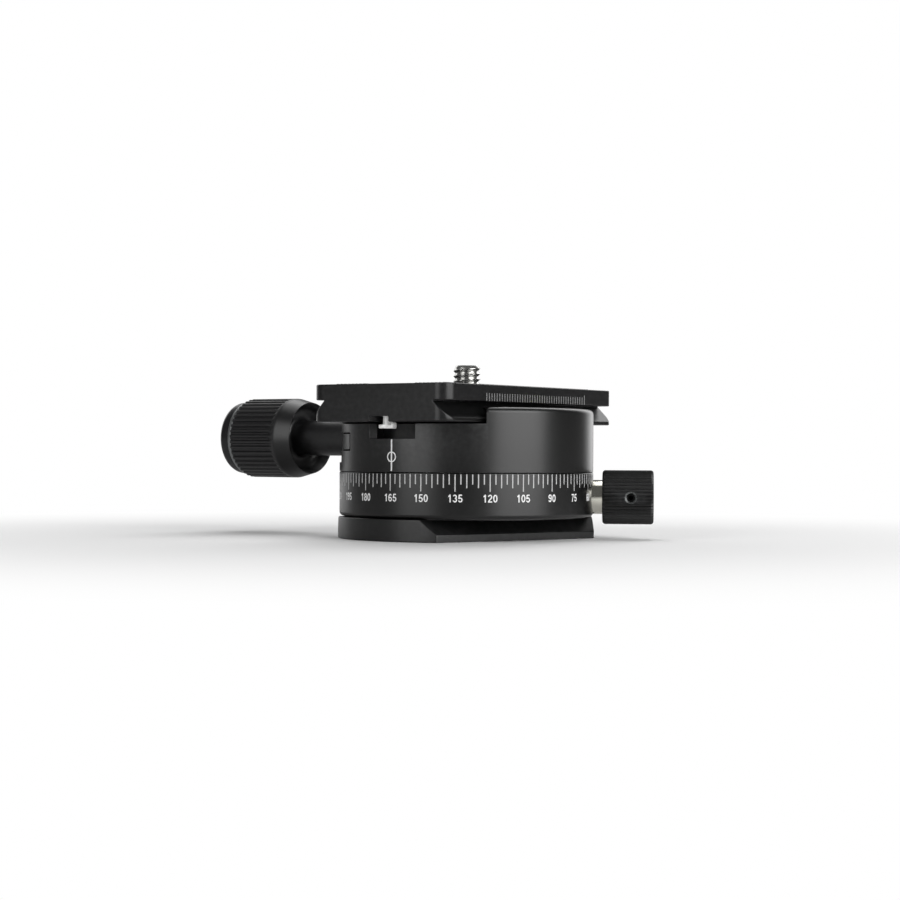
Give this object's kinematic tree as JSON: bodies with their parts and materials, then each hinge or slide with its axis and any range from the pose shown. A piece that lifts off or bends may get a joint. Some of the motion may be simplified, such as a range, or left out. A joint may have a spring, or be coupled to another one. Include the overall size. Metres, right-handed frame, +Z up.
{
  "type": "panoramic tripod head",
  "caption": "Panoramic tripod head: graduated base with a pan lock, turntable with a screw clamp, bubble level and a sliding quick-release plate.",
  "frame": {"origin": "on the pan axis, in the plane of the foot's underside", "axes": "+Z up along the pan axis; the clamp's groove and the quick-release plate run along Y; the clamp knob points along -X and the fixed jaw is at +X"},
  "size_m": [0.1116, 0.071, 0.0408],
  "materials": {
    "black_anodised": "black anodised, fine satin",
    "black_knob": "black anodised, satin",
    "knob_grip": "black ribbed grip, matte",
    "knob_cap": "black cap, semi-gloss",
    "steel": "turned and polished",
    "dark_steel": "black oxide",
    "chrome": "polished",
    "brass": "turned",
    "nylon": "white nylon",
    "rubber": "black ribbed rubber",
    "level_fluid": "green level fluid",
    "level_lens": "clear acrylic"
  },
  "bodies": {
    "base": {"foot_plate": "black_anodised", "socket_bushing": "steel", "dial_ring": "black_anodised", "upper_glide_ring": "nylon", "foot_screw_1": "dark_steel", "foot_screw_2": "dark_steel", "foot_screw_3": "dark_steel", "foot_screw_4": "dark_steel", "lock_bushing": "brass"},
    "brake": {"brake_shoe": "nylon"},
    "lock": {"lock_knob": "black_knob", "lock_screw": "steel", "lock_grub_screw": "dark_steel"},
    "turntable": {"turntable_body": "black_anodised", "spindle": "steel", "spindle_retainer": "steel", "lower_glide_washer": "nylon", "retainer_screw_1": "dark_steel", "retainer_screw_2": "dark_steel", "retainer_screw_3": "dark_steel", "turntable_screw_1": "dark_steel", "turntable_screw_2": "dark_steel", "turntable_screw_3": "dark_steel", "level_cup": "brass", "level_fluid": "level_fluid", "level_lens": "level_lens", "jaw_spring_near": "steel", "jaw_spring_far": "steel"},
    "jaw": {"moving_jaw": "black_anodised", "clamp_thrust_washer": "steel"},
    "clamp_knob": {"clamp_knob_core": "black_knob", "clamp_knob_grip": "knob_grip", "clamp_knob_cap": "knob_cap", "clamp_screw": "steel", "clamp_set_screw": "dark_steel"},
    "plate": {"quick_release_plate": "black_anodised", "rubber_pad_left": "rubber", "rubber_pad_right": "rubber", "stop_screw_near": "chrome", "stop_screw_far": "chrome"},
    "screw_carriage": {"screw_washer": "nylon"},
    "camera_screw": {"camera_screw": "steel", "screw_clip": "dark_steel"}
  },
  "joints": [
    {"name": "pan", "type": "hinge", "parent": "base", "child": "turntable", "pos_m": [0, 0, 0], "axis": [0, 0, 1], "continuous": true},
    {"name": "brake_slide", "type": "slide", "parent": "base", "child": "brake", "axis": [0.8712, 0.4909, 0], "range_m": [0, 0.0012]},
    {"name": "lock_turn", "type": "hinge", "parent": "brake", "child": "lock", "pos_m": [0.03328, 0.01875, 0.00985], "axis": [0.8712, 0.4909, 0], "range_deg": [0, 540]},
    {"name": "jaw_slide", "type": "slide", "parent": "turntable", "child": "jaw", "axis": [-1, 0, 0], "range_m": [0, 0.004], "deforming": ["jaw_spring_near", "jaw_spring_far"]},
    {"name": "clamp_knob_turn", "type": "hinge", "parent": "jaw", "child": "clamp_knob", "pos_m": [-0.0585, 0, 0.02355], "axis": [-1, 0, 0], "range_deg": [0, 1800]},
    {"name": "plate_slide", "type": "slide", "parent": "turntable", "child": "plate", "axis": [0, 1, 0], "range_m": [-0.005, 0.005]},
    {"name": "camera_screw_slide", "type": "slide", "parent": "plate", "child": "screw_carriage", "axis": [0, 1, 0], "range_m": [-0.008, 0.008]},
    {"name": "camera_screw_turn", "type": "hinge", "parent": "screw_carriage", "child": "camera_screw", "pos_m": [0, 0, 0.0352], "axis": [0, 0, 1], "continuous": true}
  ],
  "couplings": [
    {"joint": "brake_slide", "follows": "lock_turn", "m_per_rad": 0.00012732},
    {"joint": "clamp_knob_turn", "follows": "jaw_slide", "rad_per_m": 7854}
  ]
}
